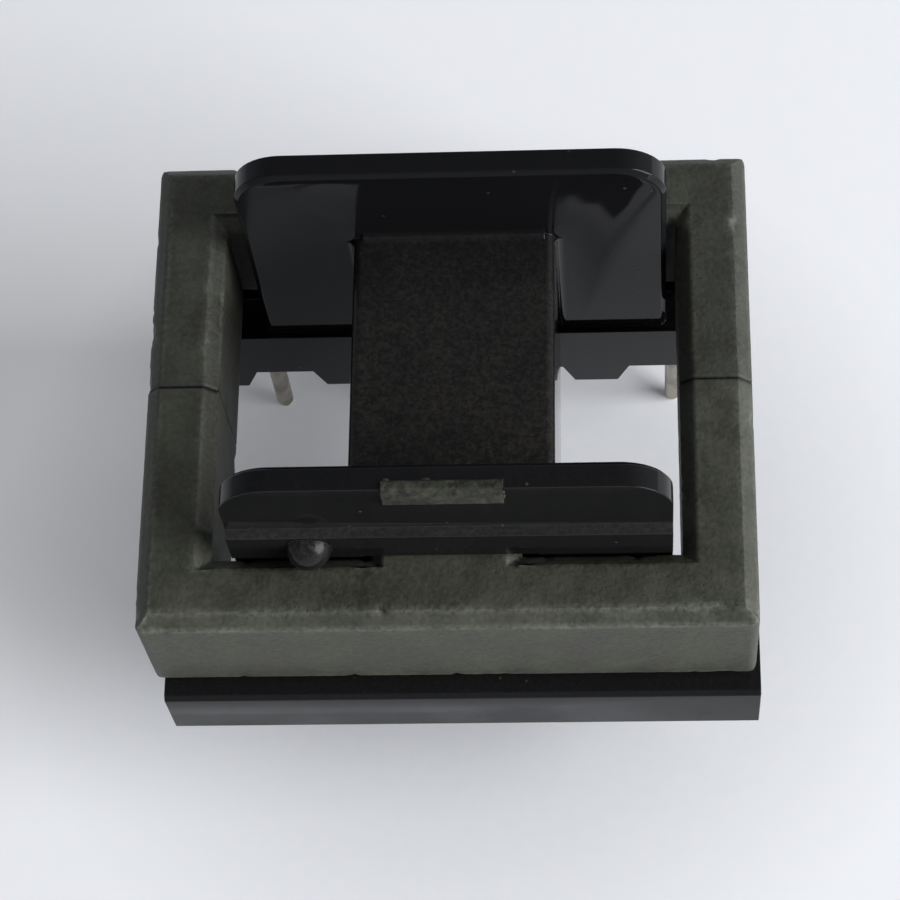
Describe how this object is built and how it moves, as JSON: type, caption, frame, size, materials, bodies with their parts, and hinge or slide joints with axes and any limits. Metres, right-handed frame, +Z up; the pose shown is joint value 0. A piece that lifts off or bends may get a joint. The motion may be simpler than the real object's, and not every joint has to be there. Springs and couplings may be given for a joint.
{
  "type": "ferrite e core pair on a horizontal coil former",
  "caption": "Two sintered ferrite E halves closed around an unwound moulded coil former that lies flat on two rows of tinned round pins.",
  "frame": {"origin": "centre of the pin pattern, on the plane of the stand-off feet, which is the face of the board", "axes": "+X across the legs of the core, +Y from the front rail to the rear rail along the tube, +Z up, away from the board; the pins reach below the origin"},
  "size_m": [0.0193, 0.0174, 0.0181],
  "materials": {
    "ferrite": "sintered, matt, finely mottled",
    "phenolic": "moulded, glossy",
    "tinned_wire": "satin tin plating"
  },
  "bodies": {
    "root": {"core_front": "ferrite", "core_rear": "ferrite", "coil_former": "phenolic", "pin_front_1": "tinned_wire", "pin_front_2": "tinned_wire", "pin_front_3": "tinned_wire", "pin_front_4": "tinned_wire", "pin_rear_1": "tinned_wire", "pin_rear_2": "tinned_wire", "pin_rear_3": "tinned_wire", "pin_rear_4": "tinned_wire"}
  },
  "joints": []
}
